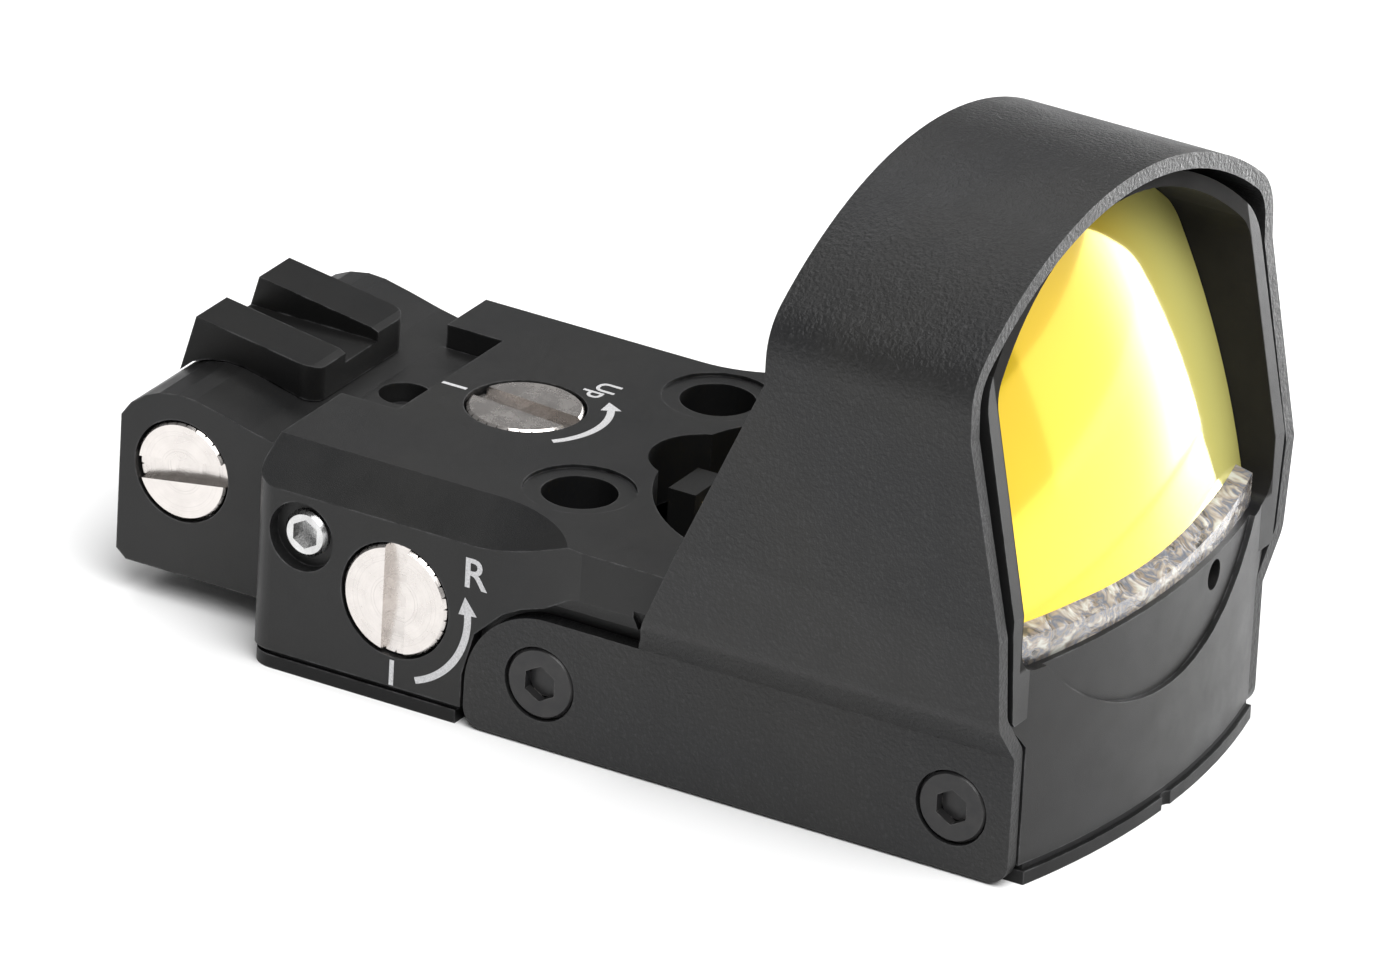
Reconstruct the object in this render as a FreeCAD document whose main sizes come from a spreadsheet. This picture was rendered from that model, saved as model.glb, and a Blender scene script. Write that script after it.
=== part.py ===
import FreeCAD, Part
import math
import os
import re
import Sketcher

V = FreeCAD.Vector

# Every length below is in millimetres.  The frame: -Y towards the target, +Z up, -X the side with the windage
# dial (the user's right), origin under the middle of the sight.
# "y" sizes are measured back from the front edge of the shroud; SHIFT moves every sub-part to the origin.
SIZES = {
    # overall
    "mid_y": 26.42, "fit": 0.05,
    # base plate and gasket
    "base_z": -0.3, "plate_thick": 0.75, "gasket_thick": 0.3, "plate_lip": 0.25,
    # housing
    "body_half": 13.0, "lower_half": 12.05, "shoulder_half": 13.6, "shoulder_y": 24.95, "flank_y": 31.2,
    "deck_z": 11.62, "rear_y": 44.9, "front_sag_y": -1.75, "front_round": 48.0, "corner_round": 1.4,
    "frame_half": 14.1, "frame_back_y": 11.2, "frame_top_z": 32.6,
    "window_half": 13.1, "sill_z": 11.55, "window_top_z": 31.8, "arch_round": 18.5,
    # optics
    "lens_centre_y": 51.05, "lens_centre_z": 2.5, "lens_front_round": 52.2, "lens_thick": 2.8,
    "well_round": 9.9, "well_y": 17.35, "well_floor_z": 7.2, "notch_round": 3.0, "notch_y": 25.6,
    # mounting screw holes
    "hole_half": 7.0, "hole_y": 29.0, "hole_round": 2.0, "sink_round": 2.95, "sink_deep": 0.2,
    # cavities
    "cell_round": 10.0, "cell_thick": 3.2, "cell_y": 13.0, "cell_low_z": 1.55, "cell_room": 0.35,
    # dials
    "dial_round": 3.06, "dial_bore": 3.2, "dial_thick": 1.25, "dial_stem": 1.3, "dial_tip": 0.8,
    "wind_y": 36.1, "wind_z": 5.6, "elev_y": 36.4, "slot_wide": 1.35, "slot_deep": 0.75,
    # shroud
    "sheet": 0.85, "flange_half": 13.0, "flange_low_z": -0.15, "flange_top_z": 6.96, "ear_back_y": 31.8,
    "bend_half": 14.85, "bend_z": 9.3, "waist_half": 15.4, "waist_z": 14.35, "brow_half": 15.65,
    "brow_z": 24.8, "arch_top_z": 33.55, "hood_round": 24.0, "arch_back_y": 13.9, "skirt_back_y": 21.2,
    "screw_z": 3.35, "screw_front_y": 3.3, "screw_rear_y": 27.4, "screw_head": 1.93, "screw_shank": 1.0,
    # rear sight
    "block_half": 9.45, "block_back_y": 54.95, "block_low_z": 1.5, "block_top_z": 11.6,
    "tongue_left": 4.2, "tongue_right": 6.2, "tongue_front_y": 41.6, "tongue_low_z": 6.5,
    "disc_y": 51.2, "disc_z": 7.35, "disc_round": 2.68,
    "leaf_half": 4.6, "leaf_notch": 1.6, "leaf_top_z": 13.7,
    # light sensor port, windage lock screw
    "port_x": 5.5, "port_z": 10.5, "port_round": 0.82, "lock_y": 41.8, "lock_z": 7.6, "lock_round": 1.27,
    # optics carriage
    "carrier_y": 36.4, "pin_round": 0.5,
}

doc = FreeCAD.newDocument("reflex_sight")
sheet = doc.addObject("Spreadsheet::Sheet", "Dims")
for row, (word, size) in enumerate(SIZES.items(), start=1):
    sheet.set("A%d" % row, word)
    sheet.set("B%d" % row, str(size))
    sheet.setAlias("B%d" % row, word)
doc.recompute()

SHIFT = FreeCAD.Placement(V(0, -sheet.mid_y, -sheet.base_z), FreeCAD.Rotation())
made = []


def size(word):
    return float(getattr(sheet, word))


def linked(text):
    return re.sub(r"[a-z_]+[a-z_0-9]*", lambda found: "Dims." + found.group(0), text)


def number(text):
    return float(text) if not isinstance(text, str) else float(sheet.evalExpression(linked(text)))


# ---------------------------------------------------------------- sketch and feature helpers
def sketch_on(body, plane, offset=0.0):
    flat = body.newObject("Sketcher::SketchObject", body.Name + "_sketch")
    for feature in body.Origin.OriginFeatures:
        if feature.Role == plane:
            flat.AttachmentSupport = [(feature, "")]
    flat.MapMode = "FlatFace"
    flat.AttachmentOffset = FreeCAD.Placement(V(0, 0, number(offset)), FreeCAD.Rotation())
    if isinstance(offset, str):
        flat.setExpression("AttachmentOffset.Base.z", linked(offset))
    return flat


def hold(flat, geometry, vertex, across, along):
    for kind, text, axis in (("DistanceX", across, -2), ("DistanceY", along, -1)):
        value = number(text)
        if abs(value) < 1e-9:
            flat.addConstraint(Sketcher.Constraint("PointOnObject", geometry, vertex, axis))
            continue
        index = flat.addConstraint(Sketcher.Constraint(kind, -1, 1, geometry, vertex, value))
        if isinstance(text, str):
            flat.setExpression("Constraints[%d]" % index, linked(text))


def polygon(flat, points):
    corners = [V(number(a), number(b), 0) for a, b in points]
    first = flat.GeometryCount
    for index, corner in enumerate(corners):
        flat.addGeometry(Part.LineSegment(corner, corners[(index + 1) % len(corners)]))
    for index, (across, along) in enumerate(points):
        before = first + (index - 1) % len(points)
        flat.addConstraint(Sketcher.Constraint("Coincident", before, 2, first + index, 1))
        hold(flat, first + index, 1, across, along)


def circle(flat, across, along, radius):
    index = flat.addGeometry(Part.Circle(V(number(across), number(along), 0), V(0, 0, 1), number(radius)))
    hold(flat, index, 3, across, along)
    limit = flat.addConstraint(Sketcher.Constraint("Radius", index, number(radius)))
    if isinstance(radius, str):
        flat.setExpression("Constraints[%d]" % limit, linked(radius))


def hexagon(flat, across, along, flats):
    reach = number(flats) / math.sqrt(3)
    corners = []
    for step in range(6):
        turn = math.radians(60 * step)
        corners.append((across + reach * math.cos(turn), along + reach * math.sin(turn)))
    polygon(flat, corners)


def feature(body, kind, flat, **settings):
    made_feature = body.newObject("PartDesign::" + kind, body.Name + "_" + kind.lower())
    made_feature.Profile = flat
    for name, value in settings.items():
        if isinstance(value, str) and name in ("Length", "Angle"):
            made_feature.setExpression(name, linked(value))
        else:
            setattr(made_feature, name, value)
    body.Tip = made_feature
    doc.recompute()
    return made_feature


def pad(body, plane, offset, draw, length, back=False):
    flat = sketch_on(body, plane, offset)
    draw(flat)
    return feature(body, "Pad", flat, Length=length, Reversed=back)


def pocket(body, plane, offset, draw, length, back=False):
    before = body.Shape.Volume
    flat = sketch_on(body, plane, offset)
    draw(flat)
    cut = feature(body, "Pocket", flat, Length=length, Reversed=back)
    if body.Shape.Volume > before - 1e-6:
        cut.Reversed = not back
        doc.recompute()
    return cut


def turned(name, profile, place):
    """A lathe part: profile of (radius, height) corners, spun about the body's own Z axis."""
    body = doc.addObject("PartDesign::Body", name)
    flat = sketch_on(body, "XZ_Plane")
    polygon(flat, profile)
    spun = body.newObject("PartDesign::Revolution", name + "_turn")
    spun.Profile = flat
    spun.ReferenceAxis = (flat, ["V_Axis"])
    spun.Angle = 360
    body.Tip = spun
    body.Placement = place
    doc.recompute()
    return body


def bored(name, width, depth, height, centre, place):
    """A plain rectangular body: width on X, depth on Y, height on Z from its own origin upwards."""
    body = doc.addObject("PartDesign::Body", name)
    side, front = centre
    pad(body, "XY_Plane", 0.0, lambda flat: polygon(flat, [
        (side - width / 2, front - depth / 2), (side + width / 2, front - depth / 2),
        (side + width / 2, front + depth / 2), (side - width / 2, front + depth / 2)]), height)
    body.Placement = place
    return body


def at(x, y, z, axis=V(0, 0, 1), turn=0):
    """Placement that stands a lathe part's Z axis along the given direction, first spun about that axis."""
    stand = FreeCAD.Rotation(V(0, 0, 1), axis).multiply(FreeCAD.Rotation(V(0, 0, 1), turn))
    return SHIFT.multiply(FreeCAD.Placement(V(x, y, z), stand))


def keep(body, label):
    body.Label = label
    made.append(body)
    return body


def shaped(label, shape):
    """A sub-part whose form comes from surface operations that sketches do not cover."""
    solid = doc.addObject("Part::Feature", label)
    solid.Shape = shape
    solid.Placement = SHIFT.multiply(solid.Placement)
    return keep(solid, label)


def group(label, body, places):
    """Identical small parts sharing one node, each its own solid."""
    copies = []
    for place in places:
        copy = body.Shape.copy()
        copy.Placement = place.multiply(body.Placement.inverse()).multiply(copy.Placement)
        copies.append(copy)
    together = doc.addObject("Part::Feature", label)
    together.Shape = Part.makeCompound(copies)
    return keep(together, label)


# ---------------------------------------------------------------- solid helpers
def block(x0, x1, y0, y1, z0, z1):
    return Part.makeBox(x1 - x0, y1 - y0, z1 - z0, V(x0, y0, z0))


def rod(x, y, z, radius, length, axis=V(0, 0, 1)):
    return Part.makeCylinder(radius, length, V(x, y, z), axis)


def plate(points, way):
    """Face through the points, pushed along the given vector."""
    return Part.Face(Part.makePolygon(points + [points[0]])).extrude(way)


def side_shape(outline, reach):
    """(y, z) outline pushed across the whole width, from -reach to +reach."""
    return plate([V(-reach, y, z) for y, z in outline], V(2 * reach, 0, 0))


def arched(half, low, top, radius, corner, front, back):
    """Door-shaped prism along Y: straight sides, a flat arch above, rounded where they meet."""
    middle = top - radius
    edge_z = middle + math.sqrt(radius ** 2 - half ** 2)
    edges = [
        Part.LineSegment(V(-half, front, low), V(half, front, low)).toShape(),
        Part.LineSegment(V(half, front, low), V(half, front, edge_z)).toShape(),
        Part.Arc(V(half, front, edge_z), V(0, front, top), V(-half, front, edge_z)).toShape(),
        Part.LineSegment(V(-half, front, edge_z), V(-half, front, low)).toShape(),
    ]
    prism = Part.Face(Part.Wire(edges)).extrude(V(0, back - front, 0))
    brow = [edge for edge in prism.Edges if upright(edge, "Y") and abs(edge.BoundBox.ZMin - edge_z) < 1e-4]
    return prism.makeFillet(corner, brow)


def upright(edge, axis):
    box = edge.BoundBox
    spans = {"X": box.XLength, "Y": box.YLength, "Z": box.ZLength}
    return all(span < 1e-4 for name, span in spans.items() if name != axis) and spans[axis] > 1e-3


def mirrored(shape):
    return shape.mirror(V(0, 0, 0), V(1, 0, 0))


def foot_z():
    """Underside of the housing, on top of the plate and gasket."""
    return size("base_z") + size("plate_thick") + size("gasket_thick")


def lean_y(z):
    """Front plane of the lens frame, leaning back with height."""
    return -0.35 + 0.2057 * (z - size("waist_z"))


def front_drum(round_over, low, high):
    """Upright cylinder whose front is the bulged front of the housing."""
    radius = size("front_round") + round_over
    middle = size("front_sag_y") + size("front_round")
    return rod(0, middle, low, radius, high - low)


# ---------------------------------------------------------------- housing
def flank(side):
    """Plan edges of one flank, front to rear: wide shoulder, hollow run-in, straight rear half."""
    wide, shoulder = side * size("body_half"), side * size("shoulder_half")
    fore, aft = size("shoulder_y"), size("flank_y")
    swell = (shoulder - wide) / 4
    return [
        Part.LineSegment(V(shoulder, -4, 0), V(shoulder, fore, 0)).toShape(),
        Part.Arc(V(shoulder, fore, 0), V(wide + swell, (fore + aft) / 2, 0), V(wide, aft, 0)).toShape(),
        Part.LineSegment(V(wide, aft, 0), V(wide, size("rear_y"), 0)).toShape(),
    ]


def housing():
    floor = foot_z()
    deck = size("deck_z")
    wide = size("body_half")
    shoulder = size("shoulder_half")
    rear = size("rear_y")
    ends = [Part.LineSegment(V(-shoulder, -4, 0), V(shoulder, -4, 0)).toShape(),
            Part.LineSegment(V(-wide, rear, 0), V(wide, rear, 0)).toShape()]
    outline = Part.Wire(Part.__sortEdges__(flank(1) + flank(-1) + ends))
    body = Part.Face(outline).extrude(V(0, 0, deck - floor))
    body.translate(V(0, 0, floor))
    corners = [e for e in body.Edges if upright(e, "Z") and abs(e.BoundBox.YMin - rear) < 1e-4]
    body = body.makeFillet(size("corner_round"), corners)
    # bulged lower front with a shallow round relief under the window
    body = body.common(front_drum(0, floor - 1, 40))
    body = body.cut(rod(0, -6, 21.0, 14.4, 8, V(0, 1, 0)).cut(front_drum(-0.3, 0, 40)))
    # lens frame: leaning arch standing on the front of the body
    frame = arched(size("frame_half"), 9.0, size("frame_top_z"), size("arch_round") + 1.0, 3.0,
                   -4.0, size("frame_back_y"))
    taper = plate([V(13.55, -5, 8.9), V(14.1, -5, 14.4), V(16, -5, 14.4), V(16, -5, 8.9)], V(0, 20, 0))
    frame = frame.cut(taper).cut(mirrored(taper))
    lean = side_shape([(-6, 8), (-0.2, 8), (-0.2, 15.08), (lean_y(40), 40), (-6, 40)], 20)
    body = body.fuse(frame.cut(lean))
    # window tunnel
    tunnel = arched(size("window_half"), size("sill_z"), size("window_top_z"), size("arch_round"), 2.0, -5, 12)
    low_corners = [e for e in tunnel.Edges if upright(e, "Y") and abs(e.BoundBox.ZMin - size("sill_z")) < 1e-4]
    body = body.cut(tunnel.makeFillet(1.6, low_corners))
    # side recesses that take the shroud flanges: sloped under the bend, chamfered where the ear is open
    recess = [(-6, -1), (31.98, -1), (31.98, 2.6), (31.35, 5.05), (29.75, 6.6), (28.6, 7.25), (27.2, 7.75),
              (25.3, 8.95), (22.2, 8.95), (21.7, 9.8), (-6, 9.8)]
    step = size("lower_half")
    cutter = plate([V(step, y, z) for y, z in recess], V(4, 0, 0))
    under = plate([V(step, -7, -2), V(step, -7, 7.35), V(shoulder + 0.1, -7, 9.4), V(19, -7, 9.4), V(19, -7, -2)],
                  V(0, 28.8, 0))
    roof = plate([V(step, 21.8, -2), V(step, 21.8, 8.0), V(wide, 21.8, 8.0), V(shoulder + 0.1, 21.8, 9.1),
                  V(19, 21.8, 9.1), V(19, 21.8, -2)], V(0, 17, 0))
    cutter = cutter.common(under.fuse(roof))
    body = body.cut(cutter).cut(mirrored(cutter))
    # long milled facets along both deck edges, run out in a curve at the front
    body = cut_facets(body)
    # optical well behind the lens with the emitter bulge
    body = body.cut(rod(0, size("well_y"), size("well_floor_z"), size("well_round"), 6))
    body = body.cut(rod(0, size("notch_y"), 7.0, size("notch_round"), 6))
    # mounting screw holes
    for x in (-size("hole_half"), size("hole_half")):
        body = body.cut(rod(x, size("hole_y"), 0, size("hole_round"), 14))
        body = body.cut(rod(x, size("hole_y"), deck - size("sink_deep"), size("sink_round"), 1))
    # cell pocket, carriage channel and adjuster chamber, all open at the bottom
    cell_top = size("cell_low_z") + size("cell_thick") + size("cell_room")
    body = body.cut(rod(0, size("cell_y"), 0, size("cell_round") + size("cell_room"), cell_top))
    body = body.cut(block(-3.9, 3.9, 22.9, 33.0, 0, 8.0))
    body = body.cut(block(-9.3, 9.3, 32.0, 40.6, 0, 8.6))
    # dial pockets and their stem bores
    wind_y, wind_z, elev_y = size("wind_y"), size("wind_z"), size("elev_y")
    body = body.cut(rod(-14, wind_y, wind_z, size("dial_bore"), 2.4, V(1, 0, 0)))
    body = body.cut(rod(-14, wind_y, wind_z, size("dial_stem") + size("fit"), 6, V(1, 0, 0)))
    body = body.cut(rod(0, elev_y, deck - 1.4, size("dial_bore"), 3))
    body = body.cut(rod(0, elev_y, 8, size("dial_stem") + size("fit"), 4))
    # seal grooves, detent pockets beside each stem, and holes for the guide pins
    body = body.cut(rod(-10.9, wind_y, wind_z, 1.85, 0.6, V(1, 0, 0)))
    body = body.cut(rod(0, elev_y, 9.1, 1.85, 0.6))
    body = body.cut(rod(-11.7, wind_y, wind_z + 2.4, 0.45, 1.32, V(1, 0, 0)))
    body = body.cut(rod(2.4, elev_y, deck - 2.62, 0.45, 1.4))
    for x in (-2.2, 2.2):
        body = body.cut(rod(x, size("carrier_y") + 2.6, 8, 0.6, 1.7))
    # windage lock screw: counterbore and threaded bore
    body = body.cut(rod(-14, size("lock_y"), size("lock_z"), 1.9, 1.8, V(1, 0, 0)))
    body = body.cut(rod(-14, size("lock_y"), size("lock_z"), size("lock_round") + 0.01, 4.45, V(1, 0, 0)))
    # control button bore on the other side
    body = body.cut(rod(9, wind_y, wind_z, 2.4, 6, V(1, 0, 0)))
    # flange screw holes
    for y, deep in ((size("screw_front_y"), 3.0), (size("screw_rear_y"), 2.25)):
        hole = rod(step - deep, y, size("screw_z"), size("screw_shank") - 0.12, deep + 3, V(1, 0, 0))
        body = body.cut(hole).cut(mirrored(hole))
    # base screw holes
    for x, y in BASE_SCREWS:
        body = body.cut(rod(x, y, 0, 0.68, 5.2))
    # light sensor: port in the relief, and a shaft up from below
    port = size("port_x")
    body = body.cut(rod(port, -4, size("port_z"), size("port_round"), 5.5, V(0, 1, 0)))
    body = body.cut(block(port - 1.2, port + 1.2, 0.75, 2.3, 0, size("port_z") + 0.7))
    # seat for the rear sight tongue and its two fixing screws
    body = body.cut(block(-size("tongue_left") - 0.08, size("tongue_right") + 0.08,
                          size("tongue_front_y") - 0.08, rear + 1, size("tongue_low_z"), 20))
    for x in (-6.6, 6.6):
        body = body.cut(rod(x, rear - 3.2, 4.3, 0.88, 5, V(0, 1, 0)))
    return shaped("housing", body.removeSplitter())


BASE_SCREWS = [(-10.3, 6.4), (10.3, 6.4), (-11.2, 41.6), (11.2, 41.6)]


def cut_facets(body):
    """Sloped facet from the deck down to the flank, its front end run out by the same conical cutter."""
    deck = size("deck_z")
    edge, flat_slope = 10.2, 2.8 / 1.69
    over, under = 1.0, 2.4
    straight = plate([V(-edge + over * flat_slope, 0, deck + over), V(-edge - under * flat_slope, 0, deck - under),
                      V(-20, 0, deck - under), V(-20, 0, deck + over)], V(0, 30, 0))
    spin, run_out = 7.1, 31.84
    straight.translate(V(0, run_out, 0))
    cone = Part.makeCone(spin - under * flat_slope, spin + over * flat_slope, under + over,
                         V(-edge - spin, run_out, deck - under))
    cutter = straight.fuse(cone)
    return body.cut(cutter).cut(mirrored(cutter))


# ---------------------------------------------------------------- shroud
def shroud():
    gauge = size("sheet")
    half = size("brow_half")
    top = size("arch_top_z")
    radius = size("hood_round")
    middle = top - radius
    edge_z = middle + math.sqrt(radius ** 2 - half ** 2)
    right = [V(size("flange_half"), 0, size("flange_low_z")), V(size("flange_half"), 0, size("flange_top_z")),
             V(size("bend_half"), 0, size("bend_z")), V(size("waist_half"), 0, size("waist_z")),
             V(half, 0, size("brow_z")), V(half, 0, edge_z)]
    left = [V(-p.x, p.y, p.z) for p in reversed(right)]
    edges = [Part.LineSegment(a, b).toShape() for a, b in zip(right, right[1:])]
    edges.append(Part.Arc(right[-1], V(0, 0, top), left[0]).toShape())
    edges += [Part.LineSegment(a, b).toShape() for a, b in zip(left, left[1:])]
    close = Part.LineSegment(left[-1], right[0]).toShape()
    outer = Part.Face(Part.Wire(edges + [close])).extrude(V(0, 60, 0))
    outer.translate(V(0, -5, 0))
    outer = outer.makeFillet(3.2, long_edges(outer, half, edge_z))
    outer = outer.makeFillet(1.6, long_edges(outer, size("bend_half"), size("bend_z")))
    inner = inset_prism(outer, gauge)
    sheet_tube = outer.cut(inner)
    # side view trims: leaning front edge, slanted back edge, flange with a rounded ear
    low = size("flange_low_z")
    skirt = size("skirt_back_y")
    panel = [(-0.12, -2), (-0.12, size("waist_z")), (2.05, size("brow_z")), (2.4, top), (2.4, 40),
             (size("arch_back_y"), 40), (size("arch_back_y"), size("brow_z")), (skirt, 8.0),
             (skirt + 0.5, size("flange_top_z") + 0.1), (skirt + 0.5, -2)]
    kept = sheet_tube.common(side_shape(panel, 20))
    kept = kept.makeFillet(1.2, [e for e in kept.Edges if upright(e, "X")
                                 and e.BoundBox.YMax < 0 and e.BoundBox.ZMax < low + 0.01])
    ear = side_shape([(10, low), (size("ear_back_y"), low), (size("ear_back_y"), size("flange_top_z")),
                      (10, size("flange_top_z"))], 20)
    ear = ear.makeFillet(4.7, [e for e in ear.Edges if upright(e, "X")
                               and abs(e.BoundBox.YMin - size("ear_back_y")) < 1e-4
                               and e.BoundBox.ZMin > 5])
    ear = ear.makeFillet(1.1, [e for e in ear.Edges if upright(e, "X")
                               and abs(e.BoundBox.YMin - size("ear_back_y")) < 1e-4 and e.BoundBox.ZMin < 1])
    kept = kept.fuse(sheet_tube.common(ear))
    # countersinks for the four screws
    head = size("screw_head") + 0.12
    for y in (size("screw_front_y"), size("screw_rear_y")):
        seat = rod(size("flange_half") - 0.62, y, size("screw_z"), head, 2, V(1, 0, 0))
        shank = rod(size("flange_half") - 2, y, size("screw_z"), size("screw_shank") + 0.1, 4, V(1, 0, 0))
        for tool in (seat, shank):
            kept = kept.cut(tool).cut(mirrored(tool))
    return shaped("shroud", kept.removeSplitter())


def long_edges(prism, x, z):
    return [e for e in prism.Edges if upright(e, "Y")
            and abs(abs(e.BoundBox.XMin) - x) < 1e-3 and abs(e.BoundBox.ZMin - z) < 1e-3]


def inset_prism(outer, gauge):
    """The space inside the bent sheet: the outer section shrunk by one gauge and open downwards."""
    ends = [f for f in outer.Faces if abs(f.BoundBox.YMin + 5) < 1e-3 and f.BoundBox.YLength < 1e-3]
    wire = ends[0].OuterWire.makeOffset2D(-gauge)
    inner = Part.Face(wire).extrude(V(0, 60, 0))
    low = inner.BoundBox.ZMin
    reach = size("flange_half") - gauge
    return inner.fuse(block(-reach, reach, -5, 55, low - 3, low + 1))


# ---------------------------------------------------------------- optics
def ball(radius):
    return Part.makeSphere(radius, V(0, size("lens_centre_y"), size("lens_centre_z")))


def tunnel_core(gap, front, back):
    core = arched(size("window_half") - gap, size("sill_z") + gap, size("window_top_z") - gap,
                  size("arch_round") - gap, 2.0, front, back)
    low = size("sill_z") + gap
    return core.makeFillet(1.6, [e for e in core.Edges if upright(e, "Y") and abs(e.BoundBox.ZMin - low) < 1e-4])


def lens():
    core = tunnel_core(0.06, -5, 12)
    outer = size("lens_front_round")
    return shaped("lens", core.common(ball(outer)).cut(ball(outer - size("lens_thick"))))


def lens_adhesive():
    core = tunnel_core(0.0, -5, 12)
    wedge = side_shape([(-3, 11.0), (5.0, 11.0), (5.0, 14.2), (0.4, 13.2), (-3, 11.6)], 20)
    bead = core.common(wedge).cut(ball(size("lens_front_round"))).common(front_drum(-0.65, 8, 20))
    bead = bead.cut(block(12.2, 20, -5, 12, 8, 20))
    return shaped("lens_adhesive", largest(bead))


def largest(shape):
    return sorted(shape.Solids, key=lambda solid: solid.Volume)[-1]


# ---------------------------------------------------------------- lathe parts
def dial(name, long, place):
    """Slotted adjuster: rimmed disc, stem and fine threaded tip; the disc face is at its own origin."""
    thick = size("dial_thick")
    body = turned(name, [
        (0.0, 0.0), ("dial_round - 0.15", 0.0), ("dial_round", -0.15), ("dial_round", "-dial_thick"),
        ("dial_stem", "-dial_thick"), ("dial_stem", -thick - 1.7), ("dial_tip", -thick - 2.0),
        ("dial_tip", -long), (0.0, -long)], place)
    slot = "slot_wide / 2"
    reach = 3.4
    pocket(body, "XZ_Plane", "slot_wide / 2", lambda flat: slot_profile(flat, reach), "slot_wide")
    notches(body, "dial_round", 30)
    return keep(body, name)


def slot_profile(flat, reach):
    """Slot with a bowed floor, deeper in the middle than at the rim."""
    polygon(flat, [(-reach, 0.5), (-reach, -0.35), (-1.9, -0.62), (-0.8, "-slot_deep"), (0.8, "-slot_deep"),
                   (1.9, -0.62), (reach, -0.35), (reach, 0.5)])


def notches(body, radius, count):
    """Fine serrations round the rim, one cut repeated round the axis."""
    edge = number(radius)
    cut = pocket(body, "XY_Plane", 0.3, lambda flat: polygon(flat, [
        (edge - 0.14, 0.0), (edge + 0.2, 0.15), (edge + 0.2, -0.15)]), 0.95)
    ring = body.newObject("PartDesign::PolarPattern", body.Name + "_ring")
    ring.Originals = [cut]
    for feature_axis in body.Origin.OriginFeatures:
        if feature_axis.Role == "Z_Axis":
            ring.Axis = (feature_axis, [""])
    ring.Angle = 360
    ring.Occurrences = count
    body.Tip = ring
    doc.recompute()


def socket_screw(name, head, head_deep, shank, long, key, place):
    """Countersunk-style low head with a hexagon socket, face at its own origin, pointing down."""
    body = turned(name, [
        (0.0, 0.0), (head - 0.12, 0.0), (head, -0.12), (head, -head_deep), (shank, -head_deep),
        (shank, -long + 0.2), (shank - 0.2, -long), (0.0, -long)], place)
    pocket(body, "XY_Plane", 0.0, lambda flat: hexagon(flat, 0.0, 0.0, key), head_deep)
    return body


def set_screw(name, radius, long, key, place):
    body = turned(name, [
        (0.0, 0.0), (radius - 0.18, 0.0), (radius, -0.18), (radius, -long + 0.25), (radius - 0.3, -long),
        (0.0, -long)], place)
    pocket(body, "XY_Plane", 0.0, lambda flat: hexagon(flat, 0.0, 0.0, key), min(1.3, long * 0.5))
    return body


def fasteners():
    z = size("screw_z")
    out = size("flange_half") - 0.05
    master = socket_screw("flange_screw", size("screw_head"), 0.55, size("screw_shank") - 0.13, 3.0, 1.7,
                          at(0, 0, 0))
    places = []
    for side in (-1, 1):
        for y in (size("screw_front_y"), size("screw_rear_y")):
            places.append(at(side * out, y, z, V(side, 0, 0)))
    group("shroud_screws", master, places)
    small = socket_screw("plate_screw", 1.35, 0.55, 0.66, 3.6, 0.9, at(0, 0, 0))
    group("base_screws", small, [at(x, y, size("base_z") + 0.1, V(0, 0, -1)) for x, y in BASE_SCREWS])
    rear = socket_screw("block_screw", 1.9, 1.9, 0.86, 8.2, 1.5, at(0, 0, 0))
    group("rear_sight_screws", rear, [at(x, size("rear_y") + 5.2, 4.3, V(0, 1, 0)) for x in (-6.6, 6.6)])


def lock_screws():
    keep(set_screw("windage_lock_screw", size("lock_round"), 2.6, 1.4,
                   at(-12.63, size("lock_y"), size("lock_z"), V(-1, 0, 0))), "windage_lock_screw")
    keep(set_screw("rear_sight_lock_screw", 1.36, 2.6, 1.3, at(0, 43.6, 9.35)), "rear_sight_lock_screw")


# ---------------------------------------------------------------- base
def base_outline(inset, lip, low, high):
    """Plan of the housing foot, with the bulged front pushed out by the lip."""
    slim = size("lower_half") - inset
    wide = size("body_half") - inset
    rear = size("rear_y") - inset
    flank = [(slim, -4.0), (slim, 32.3), (wide, 32.3), (wide, rear)]
    outline = [V(x, y, low) for x, y in flank] + [V(-x, y, low) for x, y in reversed(flank)]
    foot = plate(outline, V(0, 0, high - low))
    rounded = [e for e in foot.Edges if upright(e, "Z") and abs(e.BoundBox.YMin - rear) < 1e-4]
    return foot.makeFillet(size("corner_round"), rounded).common(front_drum(lip, low - 1, high + 1))


def base_parts():
    low = size("base_z")
    top = low + size("plate_thick")
    board = base_outline(0.1, size("plate_lip"), low, top)
    gasket = base_outline(0.3, 0.0, top, foot_z())
    for x in (-size("hole_half"), size("hole_half")):
        board = board.cut(rod(x, size("hole_y"), -1, size("hole_round"), 4))
        gasket = gasket.cut(rod(x, size("hole_y"), 0, size("hole_round") + 0.3, 4))
    for x, y in BASE_SCREWS:
        board = board.cut(rod(x, y, -1, 0.75, 4)).cut(rod(x, y, -1, 1.42, low + 1.65))
        gasket = gasket.cut(rod(x, y, 0, 0.9, 4))
    gasket = gasket.cut(rod(0, size("cell_y"), 0, size("cell_round") + 0.5, 4))
    gasket = gasket.cut(block(-3.9, 3.9, 22.9, 33.0, 0, 4)).cut(block(-9.3, 9.3, 32.0, 40.6, 0, 4))
    gasket = gasket.cut(block(size("port_x") - 1.2, size("port_x") + 1.2, 0.75, 2.3, 0, 4))
    # small witness notch in the middle of the front edge
    board = board.cut(rod(0.2, size("front_sag_y") - size("plate_lip") - 0.3, -1, 0.55, 3))
    shaped("base_plate", board)
    shaped("base_gasket", gasket)


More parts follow.
